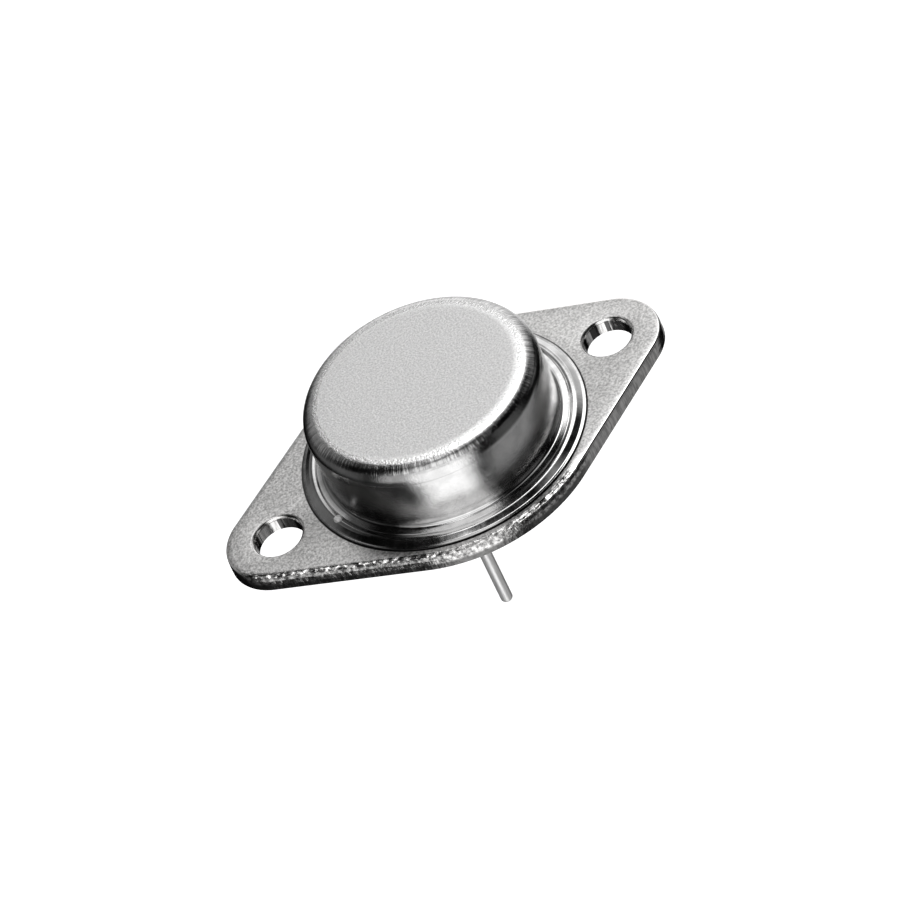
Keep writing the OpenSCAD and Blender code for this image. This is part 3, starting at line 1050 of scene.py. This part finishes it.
class TRANSISTOR_OT_stage(bpy.types.Operator):
    """Set up the floor, the soft studio light and the camera"""

    bl_idname = "transistor.stage"
    bl_label = "Stage"

    def execute(self, context):
        stage = settings().stage
        leave_edit()
        floor_z = CAD_BOX[0].z - stage.floor_drop
        bpy.ops.mesh.primitive_plane_add(size=stage.floor_size, location=(0, 0, floor_z))
        floor = context.object
        floor.name = "floor"
        material, tree, bsdf = new_material("Pale floor")
        bsdf.inputs["Base Color"].default_value = (0.9, 0.9, 0.9, 1.0)
        bsdf.inputs["Roughness"].default_value = 0.9
        bsdf.inputs["Emission Color"].default_value = (1.0, 1.0, 1.0, 1.0)
        bsdf.inputs["Emission Strength"].default_value = 0.75
        clear = add(tree, "ShaderNodeBsdfTransparent")
        back = add(tree, "ShaderNodeNewGeometry").outputs["Backfacing"]
        mixed = add(tree, "ShaderNodeMixShader", {0: back, 1: bsdf.outputs[0], 2: clear.outputs[0]})
        tree.links.new(mixed.outputs[0], tree.nodes["Material Output"].inputs["Surface"])
        floor.data.materials.append(material)
        floor.visible_glossy = False
        floor.visible_shadow = False
        self.light_room(context)
        self.place_camera(context)
        context.scene.view_settings.view_transform = "Standard"
        return {"FINISHED"}

    def light_room(self, context):
        stage = settings().stage
        world = bpy.data.worlds.new("Studio")
        context.scene.world = world
        world.use_nodes = True
        tree = world.node_tree
        background = tree.nodes["Background"]
        spot = add(tree, "ShaderNodeTexCoord").outputs["Generated"]
        group = window_group()
        panels = []

        def window(name, azimuth, elevation, width, height, softness, strength):
            """A soft-edged window: its middle, half size and softness in degrees, and its strength."""
            panel = place_group(tree, group, spot, {
                "Azimuth": radians(azimuth), "Elevation": radians(elevation), "Half width": radians(width),
                "Half height": radians(height), "Softness": radians(softness)})
            panel.label = name
            panels.append(times(tree, panel.outputs["Mask"], strength))

        window("Key low", azimuth=-112, elevation=-24, width=25, height=54, softness=8, strength=1.3)
        window("Key high", azimuth=-116, elevation=52, width=36, height=18, softness=6, strength=1.15)
        window("Key left", azimuth=-151, elevation=18, width=12, height=28, softness=7, strength=0.42)
        window("Overhead", azimuth=170, elevation=82, width=60, height=5, softness=2.5, strength=1.6)
        window("Zenith", azimuth=0, elevation=90, width=200, height=8, softness=4, strength=0.5)
        window("Right above", azimuth=16, elevation=67, width=26, height=10, softness=5, strength=0.34)
        window("Right fill", azimuth=22, elevation=19, width=24, height=14, softness=7, strength=0.17)
        window("Back", azimuth=62, elevation=62, width=24, height=19, softness=12, strength=3.1)
        window("Back right", azimuth=44, elevation=32, width=14, height=12, softness=8, strength=0.48)
        window("Back low", azimuth=69, elevation=-6, width=22, height=36, softness=12, strength=1.1)
        window("Left fill", azimuth=118, elevation=30, width=20, height=18, softness=6, strength=0.24)
        window("Left low", azimuth=150, elevation=4, width=32, height=16, softness=9, strength=0.09)
        window("Front right", azimuth=-45, elevation=8, width=16, height=24, softness=8, strength=0.07)
        window("Floor right", azimuth=-36, elevation=-50, width=34, height=32, softness=9, strength=0.24)
        window("Floor left", azimuth=-170, elevation=-46, width=34, height=26, softness=12, strength=0.03)
        total = stage.ambient
        for panel in panels:
            total = math(tree, "ADD", total, panel)
        camera_ray = add(tree, "ShaderNodeLightPath").outputs["Is Camera Ray"]
        seen = add(tree, "ShaderNodeMix", {0: camera_ray, 2: total, 3: 1.0}, data_type="FLOAT")
        tree.links.new(seen.outputs[0], background.inputs["Strength"])
        background.inputs["Color"].default_value = (1.0, 1.0, 1.0, 1.0)

    def place_camera(self, context):
        stage = settings().stage
        back = Vector((
            sin(stage.azimuth) * cos(stage.elevation), -cos(stage.azimuth) * cos(stage.elevation),
            sin(stage.elevation)))
        camera_data = bpy.data.cameras.new("Camera")
        camera = bpy.data.objects.new("Camera", camera_data)
        context.scene.collection.objects.link(camera)
        camera.location = Vector(stage.aim) + back * stage.distance
        turn = (-back).to_track_quat("-Z", "Y")
        camera.rotation_mode = "QUATERNION"
        camera.rotation_quaternion = turn @ Quaternion((0, 0, 1), -stage.roll)
        camera_data.lens = stage.lens
        camera_data.sensor_width = stage.sensor
        camera_data.clip_start = 0.01
        context.scene.camera = camera


class TransistorSettings(bpy.types.PropertyGroup):
    """Everything that a user would change."""

    cap: PointerProperty(type=CapSizes)
    plate: PointerProperty(type=PlateSizes)
    lead: PointerProperty(type=LeadSizes)
    finishes: PointerProperty(type=Finishes)
    stage: PointerProperty(type=StageSettings)


STEPS = (
    TRANSISTOR_OT_cap, TRANSISTOR_OT_base_plate, TRANSISTOR_OT_leads, TRANSISTOR_OT_glass_seals,
    TRANSISTOR_OT_inner_parts, TRANSISTOR_OT_stage,
)


class TRANSISTOR_PT_build(bpy.types.Panel):
    """Lists the steps, and the sizes and finishes that they use"""

    bl_label = "Power Transistor"
    bl_idname = "TRANSISTOR_PT_build"
    bl_space_type = "VIEW_3D"
    bl_region_type = "UI"
    bl_category = "Transistor"

    def draw(self, context):
        for step in STEPS:
            self.layout.operator(step.bl_idname)
        for part in TransistorSettings.__annotations__:
            group = getattr(context.scene.transistor, part)
            box = self.layout.box()
            box.label(text=part.capitalize())
            for value in type(group).__annotations__:
                box.prop(group, value)


CLASSES = (
    CapSizes, PlateSizes, LeadSizes, Finishes, StageSettings, TransistorSettings, *STEPS, TRANSISTOR_PT_build,
)


def register():
    for item in CLASSES:
        bpy.utils.register_class(item)
    bpy.types.Scene.transistor = PointerProperty(type=TransistorSettings)


def unregister():
    del bpy.types.Scene.transistor
    for item in reversed(CLASSES):
        bpy.utils.unregister_class(item)


def main():
    register()
    bpy.ops.transistor.cap()
    bpy.ops.transistor.base_plate()
    bpy.ops.transistor.leads()
    bpy.ops.transistor.glass_seals()
    bpy.ops.transistor.inner_parts()
    bpy.ops.transistor.stage()


if __name__ == "__main__":
    main()
